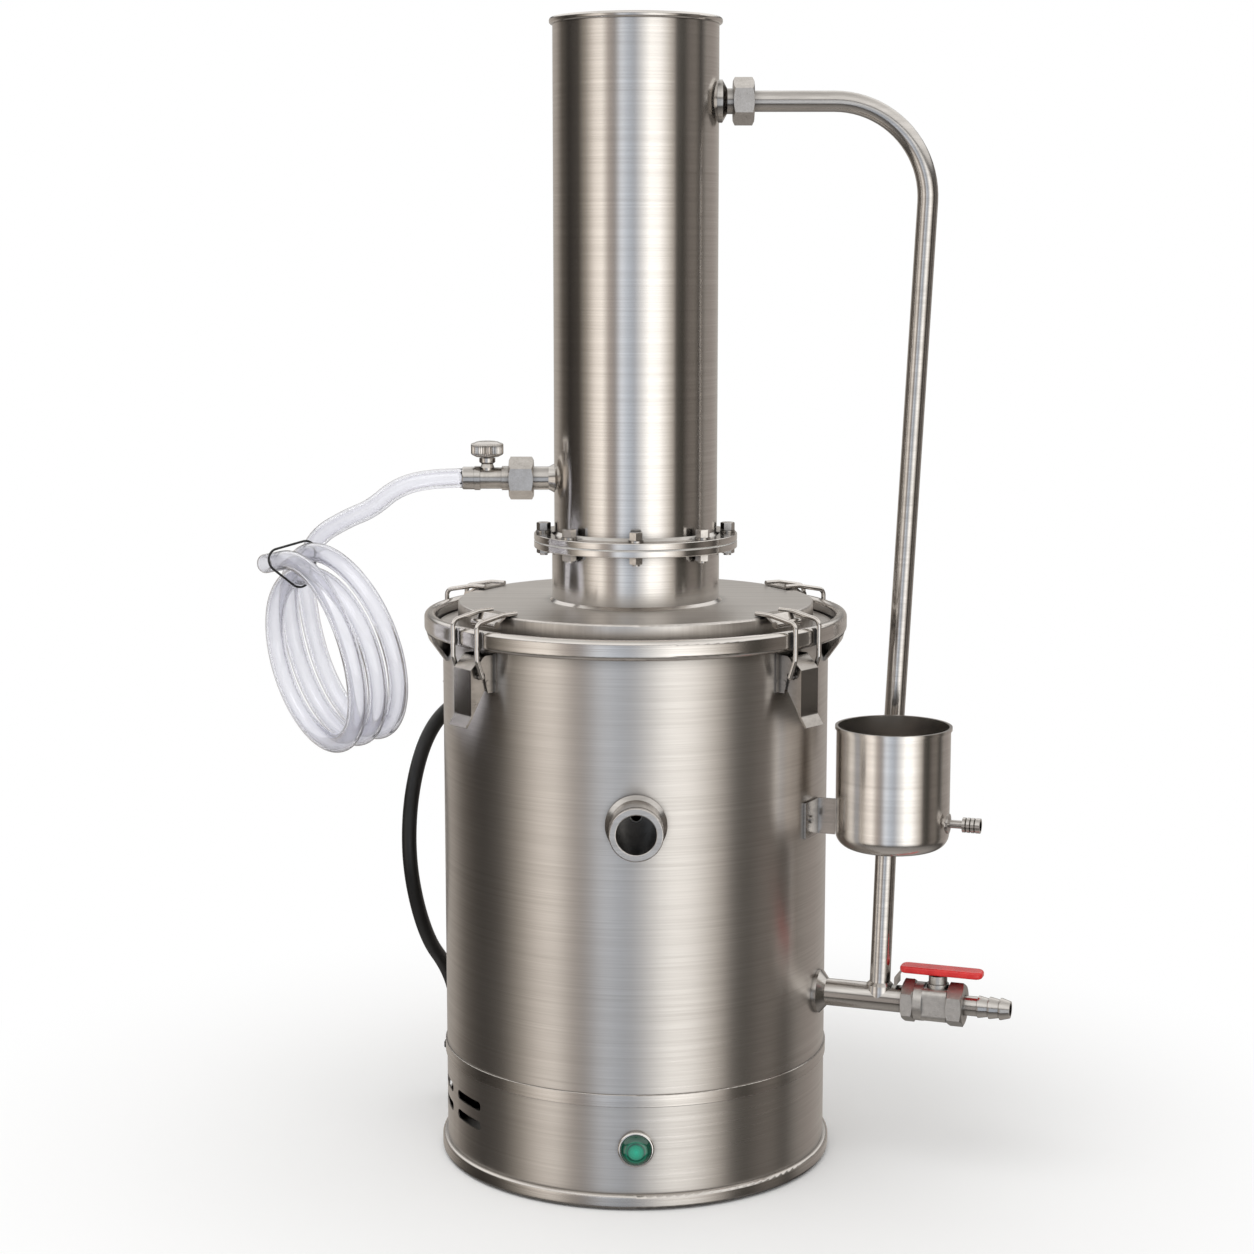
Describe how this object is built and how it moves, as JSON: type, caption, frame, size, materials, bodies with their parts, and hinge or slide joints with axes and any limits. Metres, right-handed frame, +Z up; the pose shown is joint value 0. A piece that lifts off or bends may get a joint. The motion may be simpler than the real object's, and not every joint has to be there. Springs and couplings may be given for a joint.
{
  "type": "water distiller",
  "caption": "Electric benchtop water still: steel boiler with clamped lid, bolted condenser column, water cup, needle valve, drain valve and hose.",
  "frame": {"origin": "centre of the floor circle that the four feet stand on, under the boiler's axis", "axes": "+X to the right with the drain, +Y to the back, +Z up along the boiler and column"},
  "size_m": [0.4831, 0.2913, 0.7335],
  "materials": {
    "brushed_steel": "satin",
    "polished_steel": "polished",
    "inner_steel": "matte",
    "black_plastic": "satin",
    "black_rubber": "matte",
    "seal_rubber": "matte",
    "white_seal": "satin",
    "red_vinyl": "gloss",
    "green_lens": "gloss",
    "clear_hose": "gloss"
  },
  "bodies": {
    "root": {"base_plate": "inner_steel", "base_ring": "brushed_steel", "base_skirt": "brushed_steel", "boiler_pot": "brushed_steel", "cable_glands": "black_plastic", "column_nipples": "brushed_steel", "condenser_cap": "polished_steel", "condenser_shell": "polished_steel", "cup_bracket": "brushed_steel", "cutout_cable": "black_rubber", "cutout_housing": "black_plastic", "distillate_pipe": "inner_steel", "distillate_tray": "inner_steel", "drain_pipe": "polished_steel", "flange_bolts": "polished_steel", "flange_gasket": "seal_rubber", "flange_nuts": "polished_steel", "heating_element": "inner_steel", "hose_barb": "polished_steel", "hose_ferrule": "polished_steel", "hose_tie": "black_rubber", "inlet_union_nut": "polished_steel", "lamp_bezel": "polished_steel", "lamp_lens": "green_lens", "latch_brackets": "brushed_steel", "lid": "brushed_steel", "lid_gasket": "seal_rubber", "mains_inlet": "black_plastic", "neck": "polished_steel", "needle_valve_body": "polished_steel", "outlet_union_nut": "polished_steel", "overflow_nozzle": "polished_steel", "pot_rim": "brushed_steel", "return_pipe": "polished_steel", "rubber_feet": "black_rubber", "seam_band": "brushed_steel", "side_pulls": "brushed_steel", "spout": "polished_steel", "standpipe": "polished_steel", "terminal_block": "black_plastic", "tube_bundle": "inner_steel", "valve_body": "polished_steel", "valve_seats": "white_seal", "water_cup": "polished_steel", "water_hose": "clear_hose", "water_hose_coil": "clear_hose"},
    "knob": {"needle_knob": "polished_steel", "valve_needle": "polished_steel"},
    "drain_key": {"drain_lever": "polished_steel", "lever_sleeve": "red_vinyl", "valve_stem": "polished_steel", "valve_ball": "polished_steel"},
    "latch_lever_1": {"latch_lever_1": "polished_steel"},
    "latch_bail_1": {"latch_bail_1": "polished_steel"},
    "latch_lever_2": {"latch_lever_2": "polished_steel"},
    "latch_bail_2": {"latch_bail_2": "polished_steel"},
    "latch_lever_3": {"latch_lever_3": "polished_steel"},
    "latch_bail_3": {"latch_bail_3": "polished_steel"},
    "latch_lever_4": {"latch_lever_4": "polished_steel"},
    "latch_bail_4": {"latch_bail_4": "polished_steel"}
  },
  "joints": [
    {"name": "knob_turn", "type": "hinge", "parent": "root", "child": "knob", "pos_m": [-0.0955, 0, 0.4443], "axis": [0, 0, 1], "range_deg": [0, 720]},
    {"name": "drain_turn", "type": "hinge", "parent": "root", "child": "drain_key", "pos_m": [0.1923, -0.0681, 0.1155], "axis": [0, 0, 1], "range_deg": [0, 90]},
    {"name": "latch_1_open", "type": "hinge", "parent": "root", "child": "latch_lever_1", "pos_m": [0.10151, -0.08824, 0.335], "axis": [-0.6561, -0.7547, 0], "range_deg": [0, 120]},
    {"name": "latch_1_bail", "type": "hinge", "parent": "latch_lever_1", "child": "latch_bail_1", "pos_m": [0.1021, -0.08875, 0.33057], "axis": [-0.6561, -0.7547, 0], "range_deg": [-170, 0]},
    {"name": "latch_2_open", "type": "hinge", "parent": "root", "child": "latch_lever_2", "pos_m": [0.11648, 0.06725, 0.335], "axis": [0.5, -0.866, 0], "range_deg": [0, 120]},
    {"name": "latch_2_bail", "type": "hinge", "parent": "latch_lever_2", "child": "latch_bail_2", "pos_m": [0.11716, 0.06764, 0.33057], "axis": [0.5, -0.866, 0], "range_deg": [-170, 0]},
    {"name": "latch_3_open", "type": "hinge", "parent": "root", "child": "latch_lever_3", "pos_m": [-0.11648, 0.06725, 0.335], "axis": [0.5, 0.866, 0], "range_deg": [0, 120]},
    {"name": "latch_3_bail", "type": "hinge", "parent": "latch_lever_3", "child": "latch_bail_3", "pos_m": [-0.11716, 0.06764, 0.33057], "axis": [0.5, 0.866, 0], "range_deg": [-170, 0]},
    {"name": "latch_4_open", "type": "hinge", "parent": "root", "child": "latch_lever_4", "pos_m": [-0.10151, -0.08824, 0.335], "axis": [-0.6561, 0.7547, 0], "range_deg": [0, 120]},
    {"name": "latch_4_bail", "type": "hinge", "parent": "latch_lever_4", "child": "latch_bail_4", "pos_m": [-0.1021, -0.08875, 0.33057], "axis": [-0.6561, 0.7547, 0], "range_deg": [-170, 0]}
  ],
  "couplings": [
    {"joint": "latch_1_bail", "follows": "latch_1_open", "ratio": -1.33},
    {"joint": "latch_2_bail", "follows": "latch_2_open", "ratio": -1.33},
    {"joint": "latch_3_bail", "follows": "latch_3_open", "ratio": -1.33},
    {"joint": "latch_4_bail", "follows": "latch_4_open", "ratio": -1.33}
  ]
}
